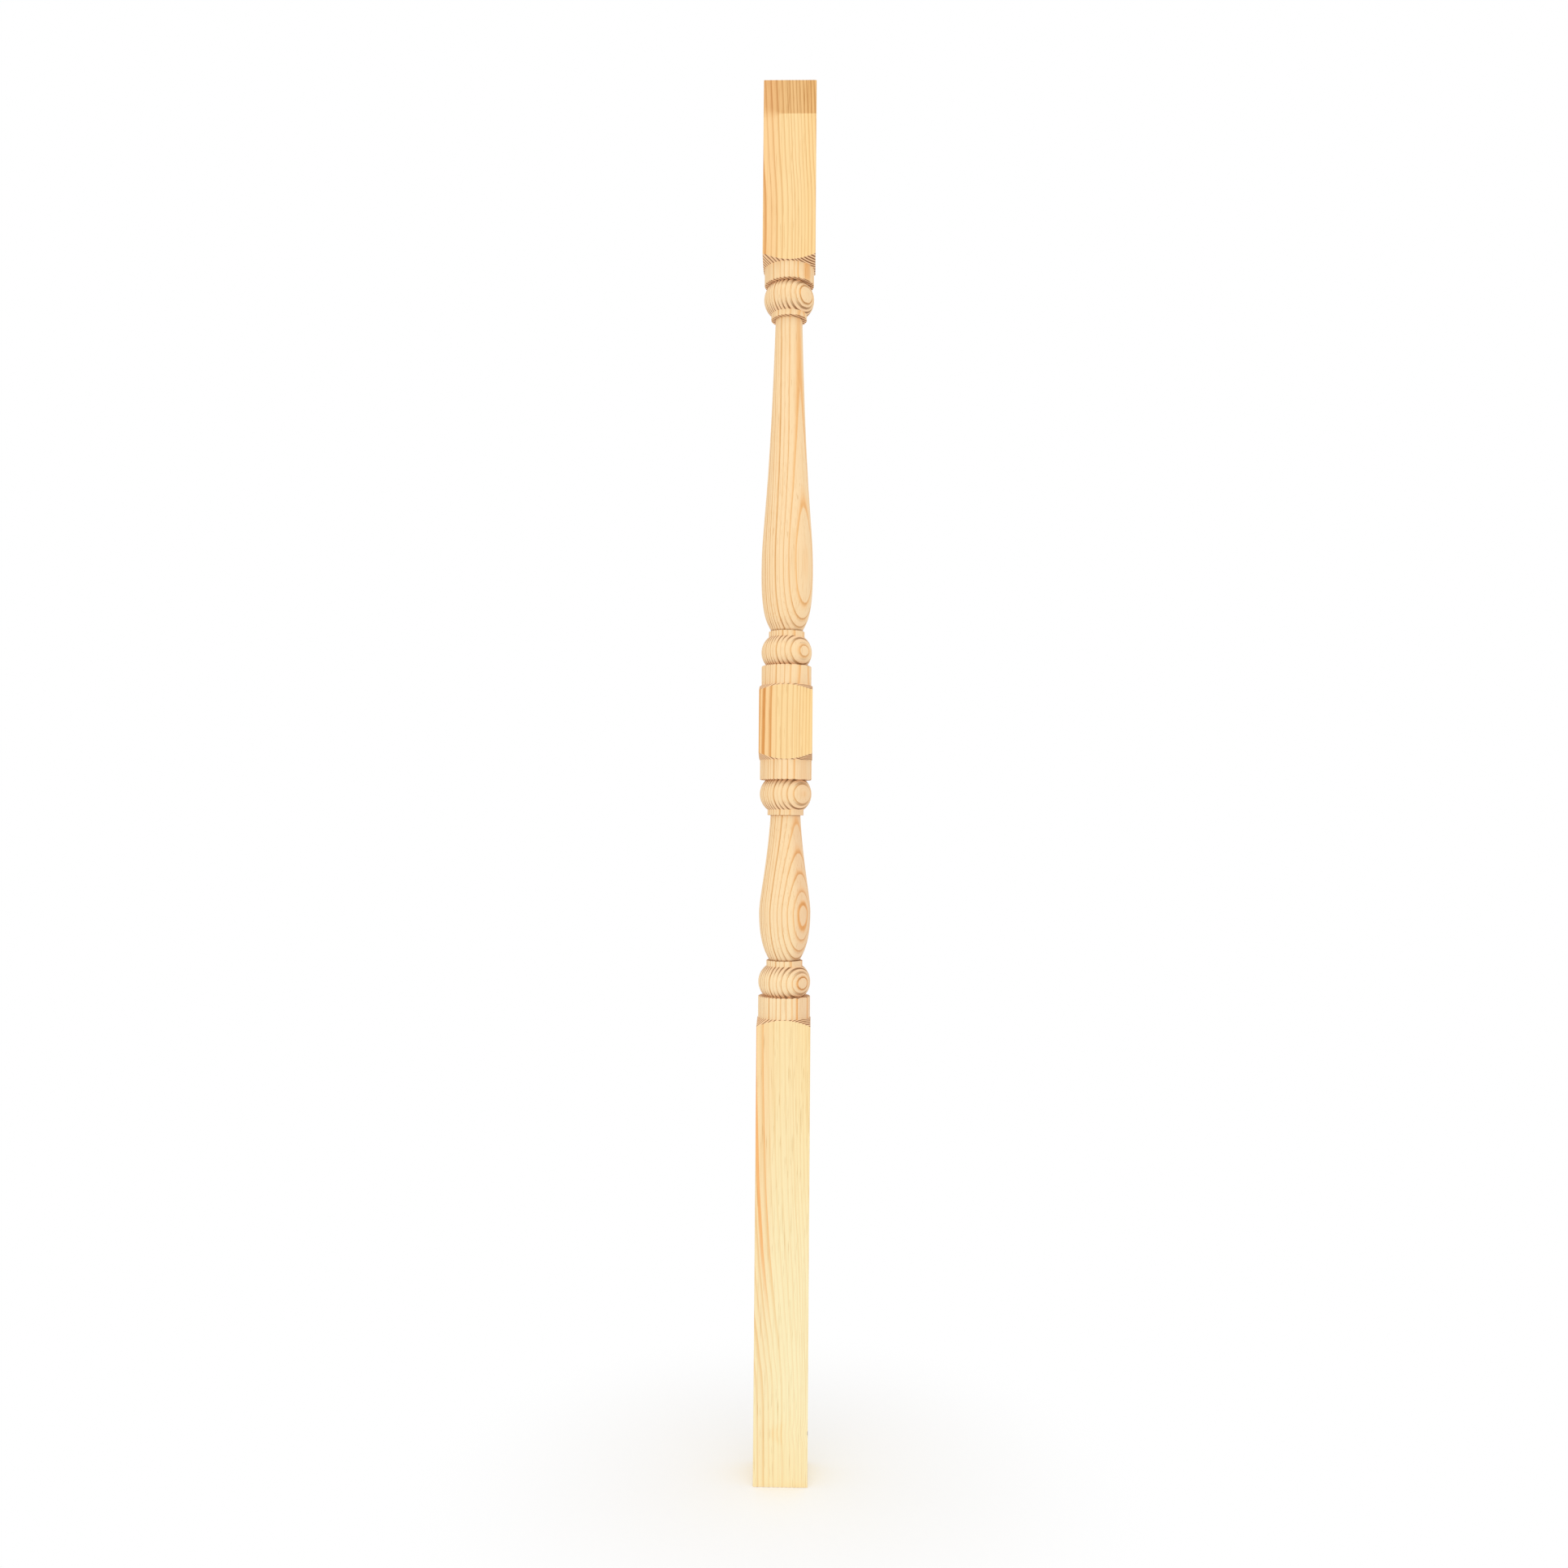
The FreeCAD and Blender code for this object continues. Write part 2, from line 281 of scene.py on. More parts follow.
@dataclass(frozen=True)
class Vase:
    """A vase form from its foot to its neck, as two cubic curves that meet upright at the belly.

    A lean or spread is across the axis, and a run, rise, fall or lift is along it. Painted shade darkens the
    corners at the foot, from the lowest row upwards, and at the neck.
    """

    height: float
    neck_dia: float
    neck_lean: float
    neck_run: float
    belly_dia: float
    belly_height: float
    belly_rise: float
    belly_fall: float
    foot_dia: float
    foot_spread: float
    foot_lift: float
    foot_steps: int = 30
    neck_steps: int = 56
    neck_corner: float = 0.7 * MM
    # Painted shade in the corners: how deep at the foot, row by row upwards, and at the neck.
    foot_corner_shades: tuple[float, ...] = (1.0, 0.8, 0.4)
    neck_corner_shade: float = 0.7

    def outline(self, base: float) -> list[Point]:
        """Points of radius and height along the form.

        Args:
            base: Height of its foot.

        Returns:
            The points, upwards.
        """
        belly = Vector((self.belly_dia / 2, base + self.belly_height))
        foot = Vector((self.foot_dia / 2, base))
        neck = Vector((self.neck_dia / 2, base + self.height))
        spread, lean = Vector((self.foot_spread, self.foot_lift)), Vector((self.neck_lean, -self.neck_run))
        low = (foot, foot + spread, belly - Vector((0, self.belly_fall)), belly)
        high = (belly, belly + Vector((0, self.belly_rise)), neck + lean, neck)
        lower = [self.on_cubic(low, share) for share in shares(self.foot_steps)]
        upper = [self.on_cubic(high, share) for share in shares(self.neck_steps)]
        upper.insert(-1, self.on_cubic(high, 1 - self.neck_corner / (3 * self.neck_run)))
        return [tuple(point) for point in lower + upper[1:]]

    @staticmethod
    def on_cubic(poles: Sequence[Vector], share: float) -> Vector:
        """A point on a cubic curve.

        Args:
            poles: The curve's four poles.
            share: How much of the way along the point is.

        Returns:
            The point.
        """
        rest = 1 - share
        weights = (rest**3, 3 * share * rest**2, 3 * share**2 * rest, share**3)
        return sum((pole * weight for pole, weight in zip(poles, weights)), Vector((0, 0)))


@dataclass(frozen=True)
class Mouldings:
    """The members at both ends of a turned stretch: collar, bead and fillet."""

    collar_dia: float
    bead_dia: float
    collar_ease: float = 0.8 * MM
    bead_arc: float = 15.5 * MM
    bead_seat: float = 11.1 * MM
    fillet_dia: float = 28.6 * MM
    fillet_height: float = 4.4 * MM
    edge_ease: float = 0.2 * MM
    bead_steps: int = 26
    ease_steps: int = 4

    @property
    def collar(self) -> float:
        """Radius of a collar."""
        return self.collar_dia / 2

    @property
    def bead_axis(self) -> float:
        """Distance of a bead's arc centre from the axis."""
        return self.bead_dia / 2 - self.bead_arc

    @property
    def bead_reach(self) -> float:
        """Height from a bead's middle to its fillet."""
        return math.sqrt(self.bead_arc**2 - (self.fillet_dia / 2 - self.bead_axis) ** 2)

    @property
    def height(self) -> float:
        """Height of one bead and its fillet."""
        return self.bead_seat + self.bead_reach + self.fillet_height

    def outline(self) -> list[Point]:
        """Points of radius and height from a collar's end face to the vase's side of the fillet.

        Returns:
            The points, upwards, starting with the collar's eased edge. The end face is at height 0.
        """
        ease = self.collar_ease
        points = [
            (self.collar - ease + ease * math.cos(turn), -ease + ease * math.sin(turn))
            for turn in shares(self.ease_steps, 0.0, math.pi / 2)
        ]
        first = -math.asin(self.bead_seat / self.bead_arc)
        last = math.asin(self.bead_reach / self.bead_arc)
        points += [
            (self.bead_axis + self.bead_arc * math.cos(turn), self.bead_seat + self.bead_arc * math.sin(turn))
            for turn in shares(self.bead_steps, first, last)
        ]
        fillet = self.fillet_dia / 2
        points.append((fillet, self.height - self.edge_ease))
        points.append((fillet - self.edge_ease, self.height))
        return points


@dataclass(frozen=True)
class Stretch:
    """One turned stretch between two square blocks."""

    mouldings: Mouldings
    vase: Vase
    foot_collar: float
    head_collar: float

    @property
    def height(self) -> float:
        """Height from the lower shoulder to the upper one, at the middle of a flat."""
        return self.foot_collar + self.head_collar + 2 * self.mouldings.height + self.vase.height

    def rows(self, base: float) -> list[Row]:
        """Rows from the top of the lower collar to the foot of the upper one.

        Args:
            base: Height of the lower shoulder at the middle of a flat.

        Returns:
            The rows, upwards.
        """
        low_face = base + self.foot_collar
        high_face = base + self.height - self.head_collar
        moulding = self.mouldings.outline()
        body = self.vase.outline(low_face + self.mouldings.height)
        # Painted shade for the corners by the fillets: the vase's lowest rows and its top row.
        foot, neck = self.vase.foot_corner_shades, self.vase.neck_corner_shade
        corner_shades = [*foot, *[0.0] * (len(body) - len(foot) - 1), neck]
        return [
            *(Row(radius, low_face + rise) for radius, rise in moulding),
            *(Row(radius, height, corner_shade=corner_shade) for (radius, height), corner_shade in zip(body, corner_shades)),
            *(Row(radius, high_face - rise) for radius, rise in reversed(moulding)),
        ]


class TurningTree:
    """The rule by which rows become a solid: each is swept round, and held inside the square blank."""

    NAME = "Turning from a square blank"

    def __init__(self) -> None:
        """Make the tree with its named inputs."""
        self.tree = bpy.data.node_groups.new(self.NAME, "GeometryNodeTree")
        self.wiring = Wiring(self.tree)
        self.sockets: dict[str, str] = {}
        for name, kind in (
            ("Geometry", "NodeSocketGeometry"),
            ("Side", "NodeSocketFloat"),
            ("Arris", "NodeSocketFloat"),
            ("Columns on a flat", "NodeSocketInt"),
            ("Columns on an arris", "NodeSocketInt"),
            ("Finish", "NodeSocketMaterial"),
        ):
            made = self.tree.interface.new_socket(name=name, in_out="INPUT", socket_type=kind)
            self.sockets[name] = made.identifier
        self.tree.interface.new_socket(name="Geometry", in_out="OUTPUT", socket_type="NodeSocketGeometry")
        self.wire()

    def named(self, name: str) -> Term:
        """A number that the points carry under a name."""
        made = self.wiring.node("GeometryNodeInputNamedAttribute", {"Name": name}, data_type="FLOAT")
        return self.wiring.term(made.outputs["Attribute"])

    def keep(self, geometry: Socket, name: str, value: Term) -> Socket:
        """The geometry, with a number that every point carries under a name."""
        inputs = {"Geometry": geometry, "Name": name, "Value": value}
        return self.wiring.node("GeometryNodeStoreNamedAttribute", inputs, data_type="FLOAT").outputs[0]

    def bearing(self, column: Term, half: Term, arris: Term, flats: Term, corners: Term) -> Term:
        """The angle of a column, from the back's right arris round to it again, closer on each arris.

        Args:
            column: Number of the column.
            half: Half the side.
            arris: Radius of the arris.
            flats: Columns on one flat.
            corners: Columns on one arris.

        Returns:
            The angle in radians, from +X.
        """
        maths = self.wiring.maths
        quarter = maths("FLOOR", column / (flats + corners))
        within = column - quarter * (flats + corners)
        reach = maths("ARCTAN2", half - arris, half)
        on_flat = within * (reach * 2 / flats) - reach
        on_arris = (within - flats) * ((math.pi / 2 - reach * 2) / corners) + reach
        past = maths("LESS_THAN", flats - 0.5, within)
        return (quarter + 1.0) * (math.pi / 2) + on_flat + past * (on_arris - on_flat)

    def blank_radius(self, bearing: Term, half: Term, arris: Term) -> Term:
        """How far the square blank reaches from the axis at an angle, with its corners rounded.

        Args:
            bearing: The angle.
            half: Half the side.
            arris: Radius of the arris.

        Returns:
            The distance.
        """
        maths = self.wiring.maths
        across = maths("ABSOLUTE", maths("COSINE", bearing))
        along = maths("ABSOLUTE", maths("SINE", bearing))
        longer = maths("MAXIMUM", across, along)
        shorter = maths("MINIMUM", across, along)
        inner = half - arris
        middle = inner * (across + along)
        on_flat = half / longer
        on_arris = middle + maths("SQRT", middle * middle - inner * inner * 2 + arris * arris)
        past = maths("LESS_THAN", inner * longer, shorter * half)
        return on_flat + past * (on_arris - on_flat)

    def wire(self) -> None:
        """Join the whole tree."""
        wiring = self.wiring
        given = wiring.node("NodeGroupInput").outputs
        half = wiring.term(given["Side"]) * 0.5
        arris = wiring.term(given["Arris"])
        flats = wiring.term(given["Columns on a flat"])
        corners = wiring.term(given["Columns on an arris"])

        columns = (flats + corners) * 4
        ring = wiring.node("GeometryNodeCurvePrimitiveCircle", {"Resolution": columns, "Radius": MM})
        column = wiring.term(wiring.node("GeometryNodeInputIndex").outputs[0])
        section = self.keep(ring.outputs[0], "column", column)
        section = self.keep(section, "bearing", self.bearing(column, half, arris, flats, corners))
        section = self.keep(section, "blank", self.blank_radius(self.named("bearing"), half, arris))

        spine = wiring.node("GeometryNodeMeshToCurve", {0: given["Geometry"]})
        sweep = {"Curve": spine.outputs[0], "Profile Curve": section}
        solid = wiring.node("GeometryNodeCurveToMesh", sweep).outputs[0]
        turned = self.named("turned_radius")
        radius = turned + self.named("square") * (self.named("blank") - turned)
        height = self.named("height") + self.named("climb") * (radius - turned)
        bearing = self.named("bearing")
        place = wiring.joined(
            radius * wiring.maths("COSINE", bearing), radius * wiring.maths("SINE", bearing), height
        )
        for kind, inputs in (
            ("GeometryNodeSetPosition", {"Position": place}),
            ("GeometryNodeMergeByDistance", {"Distance": CLEARANCE}),
            ("GeometryNodeSetShadeSmooth", {}),
            ("GeometryNodeRealizeInstances", {}),
            ("GeometryNodeSetMaterial", {"Material": given["Finish"]}),
        ):
            solid = wiring.node(kind, {"Geometry": solid, **inputs}).outputs[0]
        wiring.node("NodeGroupOutput", {0: solid})


class StripMap:
    """The stick's own texture map: the stick unrolled into two strips that stand side by side."""

    NAME = "OFBake"
    WIDTH = 0.5
    MARGIN = 0.006
    # How much of the map a millimetre along each kind of surface gets.
    SHARES = {Cut.SAWN: 1.0, Cut.PLANED: 0.45, Cut.TURNED: 1.0}

    def __init__(self, rows: Sequence[Row], half: float) -> None:
        """Set out the strips.

        Args:
            rows: The stick's rows, upwards.
            half: Half the side of its blank.
        """
        self.last = len(rows) - 1
        self.on_blank = next(number for number, row in enumerate(rows) if row.square == 1.0)
        along = [0.0]
        for low, high in pairwise(rows):
            lengths = [(high.spot(reach) - low.spot(reach)).length for reach in (half, half * math.sqrt(2))]
            share = max(self.SHARES[low.cut], self.SHARES[high.cut])
            along.append(along[-1] + sum(lengths) / 2 * share)
        cuts = [row.cut for row in rows]
        changes = [number for number in range(1, len(cuts)) if cuts[number] is not cuts[number - 1]]
        self.fold = min(changes, key=lambda number: abs(along[number] - along[-1] / 2))
        self.along = np.array(along)

    @staticmethod
    def carried(mesh: bpy.types.Mesh, name: str) -> np.ndarray:
        """The whole numbers that the mesh's points carry under a name.

        Args:
            mesh: The stick.
            name: The name.

        Returns:
            One number for each point.
        """
        values = np.empty(len(mesh.vertices), np.float32)
        mesh.attributes[name].data.foreach_get("value", values)
        return np.rint(values).astype(int)

    def around(self, mesh: bpy.types.Mesh, row: np.ndarray, column: np.ndarray) -> np.ndarray:
        """How far round the blank each column is.

        Args:
            mesh: The stick.
            row: The row of each point.
            column: The column of each point.

        Returns:
            Shares of the way round, from 0 at the first column to 1 when it comes round again.
        """
        places = np.empty(len(mesh.vertices) * 3, np.float32)
        mesh.vertices.foreach_get("co", places)
        on_row = np.flatnonzero(row == self.on_blank)
        loop = places.reshape(-1, 3)[on_row[np.argsort(column[on_row])]]
        steps = np.linalg.norm(np.roll(loop, -1, axis=0) - loop, axis=1)
        return np.concatenate(([0.0], np.cumsum(steps))) / steps.sum()

    def lay(self, mesh: bpy.types.Mesh) -> None:
        """Give the mesh its map, with its seam on one arris and its poles spread out.

        Args:
            mesh: The stick, whose points carry their row and column.
        """
        row, column = self.carried(mesh, "row"), self.carried(mesh, "column")
        around = self.around(mesh, row, column)
        count = len(around) - 1
        corner = np.empty(len(mesh.loops), np.int32)
        mesh.loops.foreach_get("vertex_index", corner)
        start = np.empty(len(mesh.polygons), np.int32)
        mesh.polygons.foreach_get("loop_start", start)
        total = np.diff(np.append(start, len(corner)))

        row = row[corner]
        across = np.where((row == 0) | (row == self.last), np.nan, column[corner])
        spread = np.repeat(np.fmax.reduceat(across, start) - np.fmin.reduceat(across, start), total)
        across = np.where((spread > count / 2) & (across < count / 2), across + count, across)
        middle = np.repeat((np.fmax.reduceat(across, start) + np.fmin.reduceat(across, start)) / 2, total)
        across = np.interp(np.where(np.isnan(across), middle, across), np.arange(count + 1), around)

        upper = np.repeat(np.minimum.reduceat(row, start) >= self.fold, total)
        fold = self.along[self.fold]
        up = (self.along[row] - upper * fold) / max(fold, self.along[-1] - fold)
        places = np.empty((len(corner), 2), np.float32)
        places[:, 0] = self.WIDTH * upper + self.MARGIN + across * (self.WIDTH - 2 * self.MARGIN)
        places[:, 1] = self.MARGIN + up * (1 - 2 * self.MARGIN)
        mesh.uv_layers.new(name=self.NAME).uv.foreach_set("vector", places.ravel())


@dataclass(frozen=True)
class Weave:
    """Even noise, with a fineness of its own across and along the stick.

    Attributes:
        across: How fine it is across the stick, for each metre.
        along: How fine it is along the stick, for each metre.
        strength: What it is multiplied by. At 1 it lies mostly between -0.5 and 0.5.
        detail: Octaves.
        roughness: How much of each finer octave.
    """

    across: float
    along: float
    strength: float = 1.0
    detail: float = 2.0
    roughness: float = 0.5

    def at(self, wiring: Wiring, place: Socket) -> Term:
        """Read the noise.

        Args:
            wiring: The tree to add to.
            place: Where to read it.

        Returns:
            The noise, about 0.
        """
        fineness = (self.across, self.across, self.along)
        scaled = wiring.node("ShaderNodeVectorMath", {0: place, 1: fineness}, operation="MULTIPLY")
        octaves = {"Scale": 1.0, "Detail": self.detail, "Roughness": self.roughness}
        made = wiring.node("ShaderNodeTexNoise", {"Vector": scaled.outputs[0], **octaves})
        return (wiring.term(made.outputs["Fac"]) - 0.5) * self.strength


@dataclass(frozen=True)
class Knot:
    """A small knot that comes out at the stick's right side, with the rings drawn aside round it.

    Attributes:
        height: Height of its middle.
        aside: How far its middle lies to the right of the line from the pith through the axis.
        half_width: Half its width.
        half_height: Half its height.
        depth: How far out from the axis it comes in.
        sinking: How far off it seems, in half sizes, where it has not come in.
        ragged: How uneven its edge is.
        pull: How far the rings are drawn.
        pull_depth: How far out from the axis that comes in.
        reach: How far off to the side that is felt.
        reach_up: How far above and below that is felt.
        layer: Thickness of its own rings, in half sizes.
        layering: How strongly they show.
        rim_part: Where its dark rim comes in, in half sizes.
        rim_depth: How dark that is.
        edge: Where it ends, in half sizes.
    """

    height: float = 40.5 * MM
    aside: float = 2.1 * MM
    half_width: float = 3.3 * MM
    half_height: float = 5.6 * MM
    depth: Span = (4.0 * MM, 12.0 * MM)
    sinking: float = 4.0
    ragged: Weave = Weave(320.0, 320.0, 0.5)
    pull: float = 2.2 * MM
    pull_depth: Span = (-4.0 * MM, 14.0 * MM)
    reach: float = 16.0 * MM
    reach_up: float = 8.0 * MM
    layer: float = 0.14
    layering: float = 2.5
    rim_part: Span = (0.50, 1.0)
    rim_depth: float = 0.85
    edge: Span = (0.94, 1.14)
    heart: Colour = (0.64, 0.36, 0.15)
    rim: Colour = (0.20, 0.11, 0.06)

    def distances(self, out: Term, aside: Term, height: Term) -> tuple[Term, Term]:
        """How far a place is from the knot.

        Args:
            out: How far the place lies out from the axis, away from the pith.
            aside: How far it lies to the right of the line from the pith.
            height: Its height.

        Returns:
            The distance in half sizes of the knot, and how strongly the knot pulls there.
        """
        maths = out.wiring.maths
        across, up = aside - self.aside, height - self.height
        wide, high = across / self.half_width, up / self.half_height
        inside = maths("SQRT", wide * wide + high * high) + (1.0 - out.ramp(*self.depth)) * self.sinking
        off = across * across / self.reach**2 + up * up / self.reach_up**2
        return inside, maths("EXPONENT", off * -1.0) * out.ramp(*self.pull_depth)

    def shown(self, wiring: Wiring, away: Term, wood: Socket) -> Socket:
        """Colour the knot.

        Args:
            wiring: The tree to add to.
            away: Distance from the knot, in half sizes of it.
            wood: The colour of the wood round it.

        Returns:
            The colour of both.
        """
        layers = wiring.maths("PINGPONG", away, self.layer) * self.layering
        heart = wiring.mixed(layers, self.heart, wood)
        heart = wiring.mixed(away.ramp(*self.rim_part) * self.rim_depth, heart, self.rim)
        return wiring.mixed(1.0 - away.ramp(*self.edge), wood, heart)


@dataclass(frozen=True)
class BoldLine:
    """A growth line that is bolder than the rest.

    Attributes:
        part: The part of the season that it fills.
        start: Where it starts, in millimetres outwards.
        stop: Where it stops, in millimetres outwards.
        strength: How bold it is.
    """

    part: Span
    start: Span
    stop: Span
    strength: float = 1.0


@dataclass(frozen=True)
class Facing:
    """How the surface was cut at a place, and which way it looks.

    Attributes:
        turned: How much of it was turned.
        corner_shade: How near it is to a corner that gets painted shade.
        tilt: How far it looks up or down.
        end: How much it shows end grain.
        tangent: How nearly it runs along the rings.
        rightward: How far it looks to the right.
    """

    turned: Term
    corner_shade: Term
    tilt: Term
    end: Term
    tangent: Term
    rightward: Term


@dataclass(frozen=True)
class Grain:
    """The figure of the wood at a place on the surface.

    Attributes:
        wiring: The tree that it is written in.
        facing: How the surface was cut there, and which way it looks.
        place: The place itself.
        right: How far right it is.
        back: How far back it is.
        height: Its height.
        soft: How far through the season's growth it is, from pale to dark.
        line: The dark line that ends the season.
        stripe: The season's dark half, as end grain shows it.
        bold: The boldest lines.
        weight: How strong this season's line is.
        knot: Distance from the knot, in half sizes of it.
        pull: How strongly the knot pulls.
    """

    wiring: Wiring
    facing: Facing
    place: Socket
    right: Term
    back: Term
    height: Term
    soft: Term
    line: Term
    stripe: Term
    bold: Term
    weight: Term
    knot: Term
    pull: Term


@dataclass(frozen=True)
class PineFinish:
    """Planed and turned pine with no coat on it, with growth rings that run through the whole stick.

    A span holds the place where something is not yet felt, and the one where it is felt in full.
    """

    name: str = "pine"
    gloss: float = 0.3
    roughness: float = 0.62
    late_polish: float = 0.14
    end_roughness: float = 0.2
    ring_bearing_deg: float = 47.0
    pith_away: float = 175.0 * MM
    knot: Knot = Knot()
    # Seasons of growth against millimetres outwards from the stick's axis.
    seasons: tuple[Point, ...] = (
        (-48.6, 0.0), (-5.5, 15.0), (-2.6, 16.0), (-0.1, 17.0), (2.35, 18.0), (4.65, 19.0), (7.85, 20.0),
        (10.5, 21.0), (13.3, 22.0), (16.25, 23.0), (19.1, 24.0), (21.45, 25.0), (22.85, 26.0), (26.4, 28.0),
        (36.4, 33.0),
    )
    # How far the rings lean outwards, in millimetres, against height in metres.
    lean: tuple[Point, ...] = (
        (0.0, 9.8), (0.06, 9.3), (0.10, 7.1), (0.14, 3.8), (0.20, 0.25), (0.26, -1.65), (0.36, -2.85),
        (0.44, -2.85), (0.50, -1.15), (0.535, -0.35), (0.60, 0.05), (0.65, 0.6), (0.70, 0.0), (0.78, -1.4),
        (0.87, -3.8), (0.90, -4.6), (0.915, -4.85), (0.931, -3.7), (0.946, -4.55), (0.98, -4.35),
        (1.04, -6.05), (1.10, -7.85),
    )
    # How strong a season's line is, against millimetres outwards.
    weights: tuple[Point, ...] = (
        (-48.6, 0.8), (-3.0, 0.8), (2.0, 0.65), (3.2, 1.0), (7.5, 0.75), (8.8, 0.72), (19.0, 0.8),
        (20.2, 0.9), (21.2, 0.5), (22.2, 0.8), (36.4, 0.75),
    )
    # How the rings wander, in millimetres.
    slow_drift: Weave = Weave(22.0, 3.0, 0.4)
    quick_drift: Weave = Weave(260.0, 14.0, 0.3)
    waver: Weave = Weave(2400.0, 50.0, 0.22, roughness=0.6)
    # The rings crowd together at the foot's front right: how far out, how high and how much.
    crowd_start: float = 13.0 * MM
    crowd_heights: Span = (0.19, 0.06)
    crowding: float = 0.33
    # Parts of a season's growth, and how much a season's luck changes them.
    soft_part: Span = (0.44, 0.90)
    line_part: Span = (0.67, 0.92)
    season_end: Span = (0.91, 1.0)
    luck_in_part: float = 0.24
    luck_in_weight: float = 0.3
    # End grain's stripes, which widen with millimetres outwards.
    stripe_part: Span = (0.54, 0.74)
    stripe_growth: Span = (8.0, 24.0)
    stripe_gain: float = 0.18
    # A broad and a thin bold line, and the heights where they come and go.
    bold_lines: tuple[BoldLine, ...] = (
        BoldLine((0.08, 0.56), (2.3, 2.6), (4.8, 4.6)),
        BoldLine((0.74, 0.92), (4.6, 4.8), (8.1, 7.9), 0.75),
    )
    bold_rise: Span = (0.11, 0.21)
    bold_top: Span = (0.97, 0.93)
    # How far a face looks up or down, along the rings or right.
    end_tilt: Span = (0.25, 0.85)
    sloped_tilt: Span = (0.05, 0.20)
    steep_tilt: Span = (0.10, 0.65)
    tangent_look: Span = (0.62, 0.97)
    right_look: Span = (0.28, 0.66)
    # The planed flats: their colours, and where these change by height or from side to side.
    planed_head: Colour = (1.000, 0.730, 0.366)
    planed_foot: Colour = (1.000, 0.888, 0.550)
    planed_heights: Span = (0.05, 0.60)
    late_head: Colour = (0.735, 0.350, 0.087)
    late_foot: Colour = (0.910, 0.630, 0.285)
    bold_head: Colour = (0.735, 0.325, 0.083)
    bold_foot: Colour = (0.970, 0.500, 0.185)
    late_heights: Span = (0.33, 0.58)
    late_width: Span = (3.0 * MM, -16.0 * MM)
    late_on_right: float = 0.6
    late_rise: Span = (0.04, 0.17)
    late_at_foot: float = 0.68
    heart_side: Colour = (0.985, 0.905, 0.872)
    heart_width: Span = (-4.0 * MM, -15.0 * MM)
    heart_heights: Span = (-0.08, 0.24)
    bark_side: Colour = (1.000, 0.970, 0.905)
    bark_width: Span = (5.0 * MM, 19.0 * MM)
    bark_heights: Span = (0.14, 0.36)
    # The turned faces and the end grain.
    turned_head: Colour = (1.000, 0.746, 0.438)
    turned_foot: Colour = (1.000, 0.790, 0.487)
    turned_heights: Span = (0.34, 0.52)
    turned_late: Colour = (0.965, 0.600, 0.280)
    turned_line: Colour = (0.740, 0.385, 0.128)
    tangent_late: Colour = (0.980, 0.570, 0.225)
    tangent_line: Colour = (0.900, 0.465, 0.150)
    sloped_line: Colour = (0.620, 0.260, 0.050)
    tilted_line: Colour = (0.520, 0.250, 0.085)
    # Painted shade on turned faces that look right, strongest on the lower stretch and fainter elsewhere.
    right_shade: Colour = (0.925, 0.850, 0.840)
    right_shade_heights: tuple[Span, Span] = ((0.32, 0.36), (0.62, 0.46))
    right_shade_elsewhere: float = 0.2
    end_early: Colour = (0.960, 0.660, 0.395)
    end_line: Colour = (0.270, 0.110, 0.035)
    # The corners get painted shade: how much everywhere, more on late wood and more on faces that look right.
    corner_shade_colour: Colour = (0.430, 0.280, 0.160)
    corner_shade_depth: float = 0.55
    corner_shade_on_late: float = 0.2
    corner_shade_on_right: float = 0.25
    # Streaks, resin canals and fibres.
    streak: Colour = (0.955, 0.895, 0.815)
    streak_fibres: Weave = Weave(750.0, 16.0, detail=3.0, roughness=0.6)
    streak_clouds: Weave = Weave(45.0, 7.0, 0.4)
    streak_part: Span = (0.03, 0.24)
    canal: Colour = (0.82, 0.70, 0.57)
    canals: Weave = Weave(1500.0, 45.0, detail=1.0, roughness=0.4)
    canal_part: Span = (0.15, 0.25)
    canal_depth: float = 0.7
    fibre: Colour = (0.985, 0.955, 0.920)
    fibres: Weave = Weave(2600.0, 30.0, roughness=0.6)
    fibre_part: Span = (-0.25, 0.25)
    # A darker band at the head, with an edge that blurs towards the left.
    head_band: Colour = (0.866, 0.740, 0.626)
    head_band_height: float = 1.0729
    head_band_edge: Weave = Weave(600.0, 600.0, 0.6 * MM)
    head_band_blur: float = 0.7 * MM
    left_blur: float = 13.0 * MM
    blur_width: Span = (-4.0 * MM, -17.0 * MM)
    band_line: Colour = (0.790, 0.715, 0.600)
    band_line_width: Span = (-8.0 * MM, 4.0 * MM)
    band_line_on_left: float = 0.6
    # The stain at the foot, half along its lower edge and half over the foot, and the lines bent by the knot.
    foot_stain: Colour = (1.0, 0.930, 0.840)
    foot_edge: Span = (7.0 * MM, 0.0)
    foot_edge_width: Span = (-6.0 * MM, 12.0 * MM)
    foot_heights: Span = (70.0 * MM, 15.0 * MM)
    bent_line: Colour = (1.0, 0.870, 0.710)
    bent_pull: Span = (0.04, 0.20)
    bent_width: Span = (6.0 * MM, -4.0 * MM)
    bent_early: float = 0.3
    # What stands up from the surface.
    line_relief: float = 0.01 * MM
    turned_line_relief: float = 0.02 * MM
    fibre_relief: Weave = Weave(1800.0, 40.0, 0.018 * MM, roughness=0.6)
    tool_marks: Weave = Weave(0.0, 2600.0, 0.012 * MM, detail=1.0)
    saw_marks: Weave = Weave(900.0, 0.0, 0.03 * MM)
    saw_slant: float = 120.0 / 900.0

